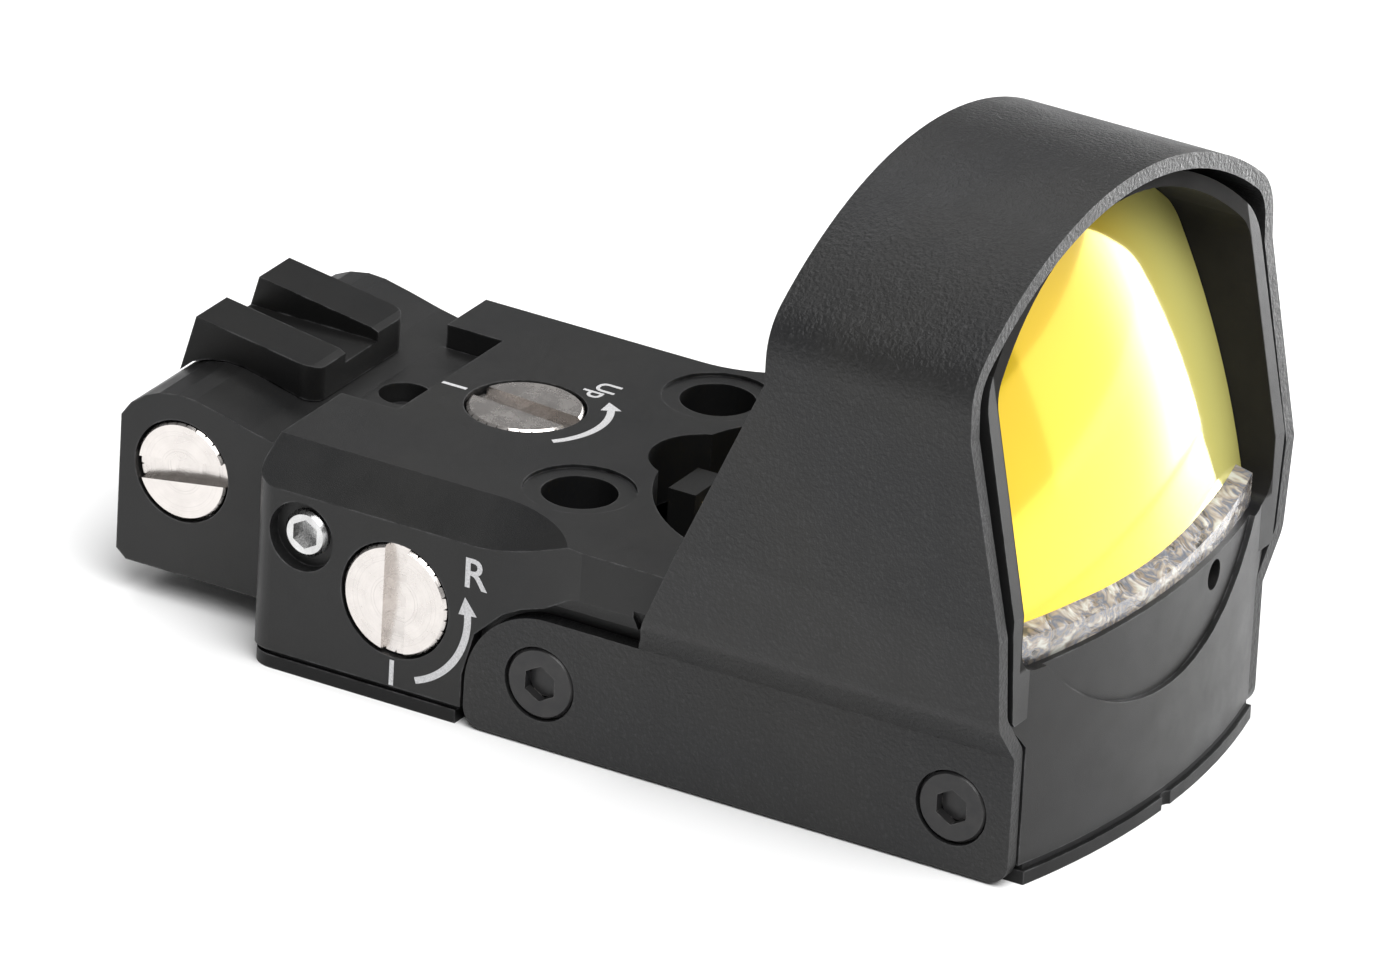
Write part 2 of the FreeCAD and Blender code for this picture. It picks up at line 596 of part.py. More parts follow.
# ---------------------------------------------------------------- rear sight
def rear_sight():
    rear = size("rear_y") + 0.06
    back = size("block_back_y")
    low = size("block_low_z")
    top = size("block_top_z")
    half = size("block_half")
    # rounded top between a straight back and a front slope that meets the tongue
    profile = [(rear, low), (back - 0.6, low), (back, low + 0.5), (back, 9.6), (54.4, 10.4), (53.6, 11.0),
               (52.7, 11.4), (51.6, top), (50.6, top - 0.05), (49.0, 11.2), (47.2, 10.75), (rear, 10.3)]
    body = side_shape(profile, half)
    tongue = block(-size("tongue_left"), size("tongue_right"), size("tongue_front_y"), rear + 1,
                   size("tongue_low_z") + 0.05, 10.35)
    body = body.fuse(tongue)
    body = body.cut(rod(0, 43.6, 5, 1.38, 8))
    # cross channel for the notch leaf, open at the top
    body = body.cut(block(-4.55, 4.55, 47.3, 52.3, 9.0, 14))
    # bore for the cross screw, wide on the dial side
    y, z = size("disc_y"), size("disc_z")
    body = body.cut(rod(-half - 1, y, z, size("disc_round") + 0.14, 2.2, V(1, 0, 0)))
    body = body.cut(rod(-half - 1, y, z, 1.05, 2 * half - 0.4, V(1, 0, 0)))
    body = body.cut(block(-2.6, 2.6, y - 0.95, y + 0.95, z - 0.3, 9.5))
    for x in (-6.6, 6.6):
        body = body.cut(rod(x, rear - 3, 4.3, 0.95, 20, V(0, 1, 0)))
        body = body.cut(rod(x, rear + 3.1, 4.3, 2.0, 20, V(0, 1, 0)))
    shaped("rear_sight_block", body)
    # leaf: foot in the cross channel, long top with a square notch
    ears = size("leaf_half")
    head = [(46.3, 12.5), (46.7, 12.68), (53.6, size("leaf_top_z")), (54.45, 10.45), (53.75, 11.1), (52.75, 11.5),
            (51.6, top + 0.08), (50.6, top + 0.03), (49.0, 11.28), (47.2, 10.83), (46.3, 10.63)]
    leaf = side_shape(head, ears)
    nose = [e for e in leaf.Edges if upright(e, "Z") and abs(e.BoundBox.YMin - 46.3) < 1e-4]
    leaf = leaf.makeFillet(1.0, nose)
    leaf = leaf.fuse(block(-3.8, 3.8, 47.4, 52.2, 9.1, 11.9))
    leaf = leaf.fuse(block(-1.6, 1.6, y - 0.9, y + 0.9, z - 0.1, 9.6))
    leaf = leaf.cut(block(-size("leaf_notch"), size("leaf_notch"), 40, 60, 12.0, 16))
    leaf = leaf.cut(rod(-6, y, z, 0.84, 12, V(1, 0, 0)))
    shaped("rear_sight_leaf", leaf)
    screw = turned("rear_sight_screw", [
        (0.0, 0.0), ("disc_round - 0.12", 0.0), ("disc_round", -0.12), ("disc_round", -1.05), (1.0, -1.05),
        (1.0, -3.4), (0.8, -3.6), (0.8, -14.0), (1.0, -14.2), (1.0, -17.0), (0.0, -17.0)],
        at(-half - 0.02, y, z, V(-1, 0, 0), -81))
    pocket(screw, "XZ_Plane", 0.6, lambda flat: slot_profile(flat, 3.2), 1.2)
    notches(screw, "disc_round", 28)
    keep(screw, "rear_sight_screw")


# ---------------------------------------------------------------- adjusters and emitter carriage
def carriage():
    y = size("carrier_y")
    pin_y = y - 1.45
    pin_z = 7.3
    # upright guide pins pressed into the chamber roof
    pin = turned("guide_pin", [(0.0, 0.0), (0.6, 0.0), (0.6, -7.6), (0.0, -7.6)], at(0, 0, 0))
    group("guide_pins", pin, [at(x, y + 2.6, 9.7) for x in (-2.2, 2.2)])
    # height slide: nut for the elevation tip, two guide bores, a cross bore for the carrier pin
    slide = block(-3.2, 3.2, y - 2.3, y + 3.6, 4.6, 8.0)
    slide = slide.cut(rod(0, y, 4, size("dial_tip") + 0.02, 5))
    for x in (-2.2, 2.2):
        slide = slide.cut(rod(x, y + 2.6, 4, 0.63, 5))
    slide = slide.cut(rod(-5, pin_y, pin_z, size("pin_round") + 0.03, 10, V(1, 0, 0)))
    shaped("elevation_slide", slide)
    # carrier: two ears on the cross pin, nut for the windage tip, arm running forward to the emitter post
    carrier = block(-1.3, 1.3, 25.3, y - 2.6, 3.2, 4.4)
    carrier = carrier.fuse(block(-1.5, 1.5, 25.3, 26.9, 3.2, 10.2))
    carrier = carrier.fuse(block(-4.7, 4.7, y - 4.0, y - 2.4, 3.2, 4.4))
    for side in (-4.3, 4.3):
        carrier = carrier.fuse(block(side - 0.4, side + 0.4, y - 4.0, y + 1.2, 3.2, 8.0))
    carrier = carrier.cut(rod(-6, pin_y, pin_z, size("pin_round"), 12, V(1, 0, 0)))
    carrier = carrier.cut(rod(-6, size("wind_y"), size("wind_z"), size("dial_tip") + 0.45, 3, V(1, 0, 0)))
    carrier = carrier.cut(block(-0.75, 0.75, 24.5, 25.75, 8.35, 9.55))
    shaped("emitter_carrier", carrier.removeSplitter())
    cross = turned("carrier_pin", [(0.0, 0.0), ("pin_round", 0.0), ("pin_round", -9.4), (0.0, -9.4)],
                   at(-4.7, pin_y, pin_z, V(-1, 0, 0)))
    keep(cross, "carrier_pin")
    chip = bored("emitter_chip", 1.5, 0.45, 1.2, (0.0, 0.0), at(0, 25.525, 8.35))
    pad(chip, "XZ_Plane", 0.225, lambda flat: circle(flat, 0.0, 0.6, 0.4), 0.25)
    keep(chip, "emitter_chip")


def springs_and_detents():
    y = size("carrier_y")
    wind_y, wind_z = size("wind_y"), size("wind_z")
    # return springs: one lifting the height slide, one round the windage tip; each stops short of the
    # moving piece by its travel
    keep(coil("elevation_spring", 1.5, 0.16, 6, 2.4, at(0, y + 0.4, 1.65)), "elevation_spring")
    keep(coil("windage_spring", 1.3, 0.19, 6, 3.9, at(-5.2, wind_y, wind_z, V(-1, 0, 0))), "windage_spring")
    bead = doc.addObject("Part::Sphere", "detent_ball")
    bead.Radius = 0.4
    doc.recompute()
    elev = at(2.4, size("elev_y"), size("deck_z") - 1.66)
    group("detent_balls", bead, [at(-11.36, wind_y, wind_z + 2.4), elev])
    small = coil("detent_spring", 0.27, 0.06, 3, 0.34, at(0, 0, 0))
    group("detent_springs", small, [at(-10.44, wind_y, wind_z + 2.4, V(-1, 0, 0)),
                                    at(2.4, size("elev_y"), size("deck_z") - 2.54)])


def coil(name, radius, wire, turns, long, place):
    """Compression spring: round wire swept up a helix, the ends left open."""
    path = Part.makeHelix(long / turns, long, radius)
    section = Part.Wire(Part.makeCircle(wire, V(radius, 0, 0), V(0, 1, 0)))
    body = doc.addObject("Part::Feature", name)
    body.Shape = Part.Wire(path.Edges).makePipeShell([section], True, True)
    body.Placement = place
    return body


# ---------------------------------------------------------------- electronics
def electronics():
    low = size("cell_low_z")
    thick = size("cell_thick")
    cell = turned("coin_cell", [
        (0.0, 0.0), (8.9, 0.0), (8.9, 0.25), ("cell_round - 0.25", 0.25), ("cell_round", 0.5),
        ("cell_round", "cell_thick"), (0.0, "cell_thick")], at(0, size("cell_y"), low))
    keep(cell, "coin_cell")
    # spring leaf under the roof of the pocket, and a contact foot on the plate
    top = low + thick
    upper = block(-2.0, 2.0, 16.5, 24.6, top + 0.02, top + 0.2)
    upper = upper.fuse(block(-2.0, 2.0, 24.4, 24.6, 2.4, top + 0.2))
    shaped("contact_upper", upper)
    rest = size("base_z") + size("plate_thick")
    lower = block(-3.0, 3.0, 8.0, 27.4, rest + 0.02, rest + 0.2)
    lower = lower.fuse(rod(0, 13.0, rest + 0.1, 3.2, low - rest - 0.12))
    shaped("contact_lower", lower)
    # circuit board across the adjuster chamber with its controller
    board = bored("circuit_board", 18.2, 8.0, 0.6, (0.0, 0.0), at(0, 36.3, rest + 0.1))
    keep(board, "circuit_board")
    chip = bored("controller_chip", 3.0, 3.0, 0.7, (0.0, 0.0), at(-5.8, 36.4, rest + 0.71))
    keep(chip, "controller_chip")
    # push switch standing at the button side
    case = bored("switch_case", 1.4, 3.6, 6.2, (0.0, 0.0), at(7.0, size("wind_y"), rest + 0.71))
    keep(case, "switch_case")
    # button: cap in the side bore with a collar inside
    button = turned("control_button", [
        (0.0, 0.0), (2.0, 0.0), (2.34, -0.3), (2.34, -3.75), (2.8, -3.75), (2.8, -4.2), (1.0, -4.2),
        (1.0, -4.75), (0.0, -4.75)], at(13.0, size("wind_y"), size("wind_z"), V(1, 0, 0)))
    keep(button, "control_button")
    # light sensor stack behind the port
    port = size("port_x")
    sensor = bored("light_sensor", 1.8, 0.6, 1.6, (0.0, 0.0), at(port, 1.3, size("port_z") - 0.9))
    keep(sensor, "light_sensor")
    strip = bored("sensor_strip", 2.0, 0.3, 9.6, (0.0, 0.0), at(port, 1.8, 1.2))
    keep(strip, "sensor_strip")
    pane = turned("sensor_window", [(0.0, 0.0), ("port_round - 0.02", 0.0), ("port_round - 0.02", -0.6), (0.0, -0.6)],
                  at(port, 0.05, size("port_z"), V(0, -1, 0)))
    keep(pane, "sensor_window")


def seals():
    for name, place in (("windage_seal", at(-10.6, size("wind_y"), size("wind_z"), V(1, 0, 0))),
                        ("elevation_seal", at(0, size("elev_y"), 9.4))):
        ring = doc.addObject("Part::Torus", name)
        ring.Radius1 = size("dial_stem") + 0.27
        ring.Radius2 = 0.25
        ring.Placement = place
        keep(ring, name)


def build():
    base_parts()
    housing()
    shroud()
    lens()
    lens_adhesive()
    fasteners()
    lock_screws()
    dial("windage_dial", 9.2, at(-13.05, size("wind_y"), size("wind_z"), V(-1, 0, 0)))
    dial("elevation_dial", 6.4, at(0, size("elev_y"), size("deck_z") + 0.02, V(0, 0, 1), 85))
    rear_sight()
    carriage()
    springs_and_detents()
    electronics()
    seals()
    doc.recompute()


def write():
    os.makedirs("parts", exist_ok=True)
    for item in doc.Objects:
        if "Invalid" in item.State or "Error" in item.State:
            raise RuntimeError("feature failed: " + item.Name)
    for item in made:
        if item.Shape.isNull() or not item.Shape.isValid():
            raise RuntimeError("bad shape: " + item.Label)
        item.Shape.exportStep("parts/" + item.Label + ".step")
        box = item.Shape.BoundBox
        print(item.Label, len(item.Shape.Solids), round(item.Shape.Volume, 2),
              [round(v, 2) for v in (box.XMin, box.XMax, box.YMin, box.YMax, box.ZMin, box.ZMax)])


build()
write()
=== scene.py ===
import math

import bpy
from mathutils import Matrix, Vector


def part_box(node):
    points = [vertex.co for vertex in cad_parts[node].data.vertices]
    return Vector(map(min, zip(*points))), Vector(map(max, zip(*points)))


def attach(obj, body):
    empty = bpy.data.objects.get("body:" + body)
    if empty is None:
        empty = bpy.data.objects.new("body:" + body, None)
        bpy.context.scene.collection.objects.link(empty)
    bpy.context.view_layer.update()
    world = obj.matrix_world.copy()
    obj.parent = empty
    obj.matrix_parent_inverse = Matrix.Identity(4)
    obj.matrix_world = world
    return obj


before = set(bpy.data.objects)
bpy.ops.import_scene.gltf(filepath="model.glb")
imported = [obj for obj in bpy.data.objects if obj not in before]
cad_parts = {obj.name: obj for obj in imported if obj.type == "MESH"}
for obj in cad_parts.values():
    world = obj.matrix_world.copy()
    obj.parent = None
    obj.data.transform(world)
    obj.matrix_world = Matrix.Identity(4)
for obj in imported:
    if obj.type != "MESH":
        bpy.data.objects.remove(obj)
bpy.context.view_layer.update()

# Lengths are in metres, in the CAD frame: -Y is the lens end, +Y the notch end, -X the windage dial's side.
MM = 0.001

SILVER = (0.67, 0.635, 0.61)
CONTACT_GOLD = (0.80, 0.62, 0.32)
PRINT_THICKNESS = 0.012 * MM

# The Mix node's sockets have to be named by number, because its colour and plain inputs share their names.
MIX_SHARE, MIX_A, MIX_B, MIX_COLOUR = 0, 6, 7, 2


# ---------------------------------------------------------------- small helpers

def middle(node):
    """The middle of a CAD node's box."""
    low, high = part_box(node)
    return (low + high) / 2


def tinted(tone, tint):
    """A grey level carried into a colour by one factor for each channel."""
    return tuple(tone * factor for factor in tint)


def scaled(colour, factor):
    """A colour made lighter or darker."""
    return tuple(channel * factor for channel in colour)


def opaque(colour):
    """A plain colour with its alpha. A colour that comes from a node is left as it is."""
    return (*colour, 1.0) if isinstance(colour, tuple) else colour


def add(name, data):
    """A new object that shows data, linked into the scene."""
    made = bpy.data.objects.new(name, data)
    bpy.context.scene.collection.objects.link(made)
    return made


class Shader:
    """A material's node tree, with short calls for the nodes that the finishes use."""

    def __init__(self, name, **settings):
        self.material = bpy.data.materials.new(name)
        self.material.use_nodes = True
        self.tree = self.material.node_tree
        self.surface = self.tree.nodes["Principled BSDF"]
        for socket, value in settings.items():
            self.set(socket.replace("_", " "), value)
        self.coordinates = self.tree.nodes.new("ShaderNodeTexCoord").outputs["Object"]

    def feed(self, socket, value):
        """Links another node's output to a socket, or sets the socket to a plain value."""
        if isinstance(value, bpy.types.NodeSocket):
            self.tree.links.new(value, socket)
        else:
            socket.default_value = value

    def set(self, socket, value):
        """Feeds an input of the finish's own Principled shader."""
        self.feed(self.surface.inputs[socket], value)

    def node(self, kind, inputs=None, **settings):
        """A new node. Its settings come first, because some of them decide which inputs it has."""
        made = self.tree.nodes.new("ShaderNode" + kind)
        for key, value in settings.items():
            setattr(made, key, value)
        for key, value in (inputs or {}).items():
            self.feed(made.inputs[key], value)
        return made

    def stretched(self, scale):
        """The object's own coordinates, scaled along each axis so that a texture draws out into lines."""
        return self.node("Mapping", {"Vector": self.coordinates, "Scale": scale}).outputs["Vector"]

    def noise(self, size, detail=2.0, rough=0.55, where=None, distortion=0.0):
        """Noise whose features are about size metres across."""
        made = self.node(
            "TexNoise",
            {
                "Vector": where or self.coordinates,
                "Scale": 1.0 / size,
                "Detail": detail,
                "Roughness": rough,
                "Distortion": distortion,
            },
        )
        return made.outputs["Fac"]

    def spread(self, value, low, high, to_low=0.0, to_high=1.0, smooth=False):
        """Carries low to to_low and high to to_high, and holds the ends beyond them."""
        made = self.node(
            "MapRange",
            {"Value": value, "From Min": low, "From Max": high, "To Min": to_low, "To Max": to_high},
            interpolation_type="SMOOTHSTEP" if smooth else "LINEAR",
        )
        return made.outputs["Result"]

    def maths(self, operation, a, b=0.0, clamp=False):
        """One sum on plain values."""
        return self.node("Math", {0: a, 1: b}, operation=operation, use_clamp=clamp).outputs[0]

    def mix(self, share, a, b):
        """Colour a where share is 0, colour b where it is 1."""
        inputs = {MIX_SHARE: share, MIX_A: opaque(a), MIX_B: opaque(b)}
        return self.node("Mix", inputs, data_type="RGBA").outputs[MIX_COLOUR]

    def blend(self, value, low, high, a, b, most=1.0):
        """Colour a where value is under low. Over high, colour b covers it by the share most."""
        return self.mix(self.spread(value, low, high, 0.0, most), a, b)

    def worn_edges(self, radius, size):
        """1 along edges, broken up by noise so that the wear comes and goes, and 0 on flat faces."""
        rounded = self.node("Bevel", {"Radius": radius}, samples=4).outputs["Normal"]
        flat = self.node("NewGeometry").outputs["Normal"]
        along = self.node("VectorMath", {0: rounded, 1: flat}, operation="DOT_PRODUCT").outputs["Value"]
        edge = self.spread(along, 0.97, 0.80)
        broken = self.spread(self.noise(size, detail=4.0, rough=0.7), 0.42, 0.62)
        return self.maths("MULTIPLY", edge, broken, clamp=True)

    def roughness(self, value, smoothest, roughest, low=0.3, high=0.7):
        """Lets the roughness follow a noise between two limits."""
        self.set("Roughness", self.spread(value, low, high, smoothest, roughest))

    def bump(self, height, depth):
        """Lets a height of 0 to 1 stand up to depth metres out of the surface."""
        normal = self.node("Bump", {"Height": height, "Distance": depth, "Strength": 1.0}).outputs["Normal"]
        self.set("Normal", normal)


# ---------------------------------------------------------------- finishes

def tunnel_matt_and_shade(s):
    """1 in a block of space round the lens, which holds the walls of its tunnel, and 0 elsewhere. There the
    walls are made matt and darkened with painted shade.
    """
    low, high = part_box("lens")
    inside = s.node("SeparateXYZ", {0: s.coordinates})
    reach = s.maths("ABSOLUTE", inside.outputs["X"])
    across = s.spread(reach, high.x + 0.10 * MM, high.x + 0.16 * MM, 1.0, 0.0)
    above = s.spread(inside.outputs["Z"], low.z + 0.2 * MM, low.z + 0.4 * MM)
    ahead = s.spread(inside.outputs["Y"], high.y + 4.0 * MM, high.y + 5.0 * MM, 1.0, 0.0)
    return s.maths("MULTIPLY", s.maths("MULTIPLY", across, above), ahead)


def anodised(name, grain, depth, rough, tone, reflect, wear=0.5, tunnel_shade=False):
    """Black anodised aluminium: a bead-blasted grain, slow changes of tone, and paler worn edges."""
    s = Shader(name, Specular_IOR_Level=reflect)
    fine = s.noise(grain, detail=3.0, rough=0.6)
    slow = s.noise(9 * MM)
    base = s.blend(slow, 0.35, 0.65, tinted(tone, (0.86, 0.88, 0.94)), tinted(tone, (1.14, 1.12, 1.08)))
    speckle = s.blend(fine, 0.56, 0.74, base, tinted(tone, (2.6, 2.6, 2.65)), most=0.6)
    edge = s.maths("MULTIPLY", s.worn_edges(0.16 * MM, 1.6 * MM), wear)
    colour = s.mix(edge, speckle, (0.16, 0.16, 0.165))
    patch = s.spread(s.noise(2.2 * MM, detail=3.0), 0.3, 0.7, rough - 0.04, rough + 0.05)
    finish = s.maths("SUBTRACT", patch, s.maths("MULTIPLY", edge, 0.12))
    if tunnel_shade:
        # Round the lens the tunnel walls turn matt and near black: the rougher finish is real, the darkening
        # is painted shade.
        matt_and_shade = tunnel_matt_and_shade(s)
        colour = s.mix(matt_and_shade, colour, (0.003, 0.0025, 0.002))
        finish = s.maths("ADD", finish, s.maths("MULTIPLY", matt_and_shade, 0.55))
    s.set("Base Color", colour)
    s.set("Roughness", finish)
    s.bump(fine, depth)
    return s.material


def turned(name, node, axis, rough, pitch):
    """Silver metal turned on a lathe: fine rings round the node's own axis, with a slow drift of tone."""
    s = Shader(name, Metallic=1.0)
    apart = s.node("VectorMath", {0: s.coordinates, 1: tuple(middle(node))}, operation="SUBTRACT").outputs[0]
    keep = tuple(0.0 if i == axis else 1.0 for i in range(3))
    across = s.node("VectorMath", {0: apart, 1: keep}, operation="MULTIPLY").outputs[0]
    radius = s.node("VectorMath", {0: across}, operation="LENGTH").outputs["Value"]
    rings = s.node(
        "TexNoise",
        {"W": radius, "Scale": 1.0 / pitch, "Detail": 3.0, "Roughness": 0.6},
        noise_dimensions="1D",
    ).outputs["Fac"]
    stain = s.noise(1.1 * MM, detail=4.0, rough=0.65)
    tone = s.blend(stain, 0.3, 0.7, scaled(SILVER, 1.12), SILVER)
    s.set("Base Color", s.blend(rings, 0.58, 0.8, tone, scaled(SILVER, 0.72), most=0.7))
    s.roughness(stain, rough - 0.05, rough + 0.08)
    s.bump(rings, 0.004 * MM)
    return s.material


def metal(name, colour, rough):
    """Plain plated or machined metal with faint handling marks."""
    s = Shader(name, Metallic=1.0)
    scratch = s.noise(0.12 * MM, detail=4.0, rough=0.6, where=s.stretched((1.0, 1.0, 0.2)))
    stain = s.noise(0.9 * MM, detail=3.0)
    s.set("Base Color", s.blend(stain, 0.35, 0.7, colour, scaled(colour, 0.7), most=0.7))
    s.roughness(scratch, rough - 0.06, rough + 0.1)
    s.bump(scratch, 0.002 * MM)
    return s.material


def black_steel(name):
    """Blackened screw steel with brown-grey rub marks along its edges."""
    s = Shader(name, Specular_IOR_Level=0.45)
    fine = s.noise(0.05 * MM, detail=3.0)
    slow = s.noise(0.8 * MM, detail=3.0)
    base = s.blend(slow, 0.35, 0.65, (0.012, 0.012, 0.013), (0.022, 0.021, 0.021))
    edge = s.maths("MULTIPLY", s.worn_edges(0.10 * MM, 0.5 * MM), 0.55)
    s.set("Base Color", s.mix(edge, base, (0.17, 0.165, 0.16)))
    s.roughness(slow, 0.30, 0.42)
    s.bump(fine, 0.003 * MM)
    return s.material


def rubber(name):
    """Moulded black rubber with a fine grain."""
    s = Shader(name, Specular_IOR_Level=0.2)
    fine = s.noise(0.09 * MM, detail=4.0)
    s.set("Base Color", s.blend(fine, 0.4, 0.7, (0.010, 0.010, 0.010), (0.022, 0.022, 0.023)))
    s.roughness(fine, 0.62, 0.8)
    s.bump(fine, 0.008 * MM)
    return s.material


def moulded(name, colour, rough):
    """Moulded plastic or epoxy with a fine grain and slow changes of tone."""
    s = Shader(name, Specular_IOR_Level=0.4)
    fine = s.noise(0.07 * MM, detail=3.0)
    slow = s.noise(1.5 * MM)
    s.set("Base Color", s.blend(slow, 0.35, 0.65, colour, scaled(colour, 1.25)))
    s.roughness(fine, rough - 0.05, rough + 0.08)
    s.bump(fine, 0.004 * MM)
    return s.material


def circuit(name):
    """Green solder mask with paler tracks in a grid."""
    s = Shader(name, Specular_IOR_Level=0.5)
    cells = s.node(
        "TexVoronoi",
        {"Vector": s.coordinates, "Scale": 1.0 / (0.9 * MM), "Randomness": 0.0},
        distance="CHEBYCHEV",
    )
    track = s.spread(cells.outputs["Distance"], 0.40, 0.44)
    s.set("Base Color", s.mix(track, (0.010, 0.055, 0.022), (0.030, 0.14, 0.05)))
    s.roughness(s.noise(0.3 * MM), 0.25, 0.4)
    s.bump(track, 0.01 * MM)
    return s.material


def coated_lens(name):
    """A stand-in for coated glass: it throws back amber light and lets none through. Its colour turns paler
    towards +X, painted light that stands in for the pale glow through the glass and the reflection on that
    side.
    """
    s = Shader(name, Specular_IOR_Level=0.3, Coat_Weight=1.0, Coat_IOR=1.5, Coat_Roughness=0.10, Metallic=0.45)
    slow = s.noise(11 * MM, rough=0.5, distortion=0.4)
    dust = s.noise(0.10 * MM, detail=5.0, rough=0.7)
    amber = s.blend(slow, 0.3, 0.7, (0.84, 0.56, 0.004), (0.84, 0.62, 0.008))
    low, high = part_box("lens")
    across = s.node("SeparateXYZ", {0: s.coordinates}).outputs["X"]
    # Painted light: paler towards +X, in place of the light through the glass and the reflection there.
    painted_pale_light = s.spread(across, low.x + 13 * MM, high.x - 2 * MM, smooth=True)
    s.set("Base Color", s.mix(painted_pale_light, amber, (0.96, 0.90, 0.28)))
    s.roughness(dust, 0.06, 0.12, low=0.66, high=0.78)
    s.bump(s.noise(6 * MM, detail=1.0), 0.004 * MM)
    return s.material


def bubbles(s, where, size, smoothness):
    """Rounded cells about size metres across."""
    return s.node(
        "TexVoronoi",
        {"Vector": where, "Scale": 1.0 / size, "Smoothness": smoothness},
        feature="SMOOTH_F1",
    ).outputs["Distance"]


def adhesive(name):
    """A squeezed-out bead of glue, lumpy with bubbles, in warm and cool greys, darker at its foot near -X."""
    s = Shader(name, Specular_IOR_Level=0.7, Coat_Weight=0.8, Coat_Roughness=0.08)
    where = s.stretched((1.0, 0.7, 1.4))
    large = bubbles(s, where, 1.1 * MM, 0.6)
    small = bubbles(s, where, 0.42 * MM, 0.4)
    lump = s.noise(1.6 * MM, detail=2.5, where=where, distortion=2.2)
    both = s.maths("ADD", s.maths("MULTIPLY", large, 0.7), s.maths("MULTIPLY", small, 0.3))
    level = s.maths("ADD", s.maths("MULTIPLY", lump, 0.75), s.maths("MULTIPLY", both, 0.38))
    ramp = s.node("ValToRGB", {"Fac": level})
    stops = (
        (0.28, (0.030, 0.028, 0.026)),
        (0.40, (0.10, 0.095, 0.09)),
        (0.47, (0.27, 0.22, 0.17)),
        (0.53, (0.13, 0.15, 0.19)),
        (0.61, (0.34, 0.29, 0.24)),
        (0.72, (0.52, 0.52, 0.47)),
    )
    bar = ramp.color_ramp
    while len(bar.elements) < len(stops):
        bar.elements.new(0.5)
    for element, (place, colour) in zip(bar.elements, stops):
        element.position = place
        element.color = opaque(colour)
    low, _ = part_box("lens_adhesive")
    apart = s.node("SeparateXYZ", {0: s.coordinates})
    near = s.spread(apart.outputs["X"], low.x, low.x + 7.0 * MM, 1.0, 0.0, smooth=True)
    foot = s.spread(apart.outputs["Z"], low.z + 0.15 * MM, low.z + 0.75 * MM, 1.0, 0.0, smooth=True)
    shade = s.maths("MULTIPLY", s.maths("MULTIPLY", near, foot), 0.95)
    s.set("Base Color", s.mix(shade, ramp.outputs["Color"], (0.010, 0.009, 0.008)))
    s.roughness(lump, 0.06, 0.22)
    s.bump(s.maths("ADD", lump, both), 0.07 * MM)
    return s.material


def clear_window(name):
    """A small clear window with a little dust on it."""
    s = Shader(name, Transmission_Weight=0.9, IOR=1.5)
    dust = s.noise(0.12 * MM, detail=4.0, rough=0.7)
    s.set("Base Color", s.blend(dust, 0.6, 0.75, (0.85, 0.85, 0.9), (0.5, 0.5, 0.5), most=0.5))
    s.roughness(dust, 0.03, 0.2, low=0.4, high=0.75)
    return s.material


def lamp_epoxy(name):
    """Pale cloudy epoxy over a lamp or a light sensor."""
    s = Shader(name, Specular_IOR_Level=0.6)
    slow = s.noise(0.5 * MM, detail=3.0)
    s.set("Base Color", s.blend(slow, 0.35, 0.65, (0.55, 0.42, 0.22), (0.75, 0.62, 0.40)))
    s.roughness(slow, 0.15, 0.3)
    s.bump(slow, 0.01 * MM)
    return s.material


def paint(name):
    """Thin white paint with darker specks."""
    s = Shader(name, Specular_IOR_Level=0.35)
    fine = s.noise(0.08 * MM, detail=4.0, rough=0.7)
    s.set("Base Color", s.blend(fine, 0.35, 0.72, (0.62, 0.62, 0.63), (0.36, 0.36, 0.37)))
    s.roughness(fine, 0.5, 0.7)
    s.bump(fine, 0.006 * MM)
    return s.material


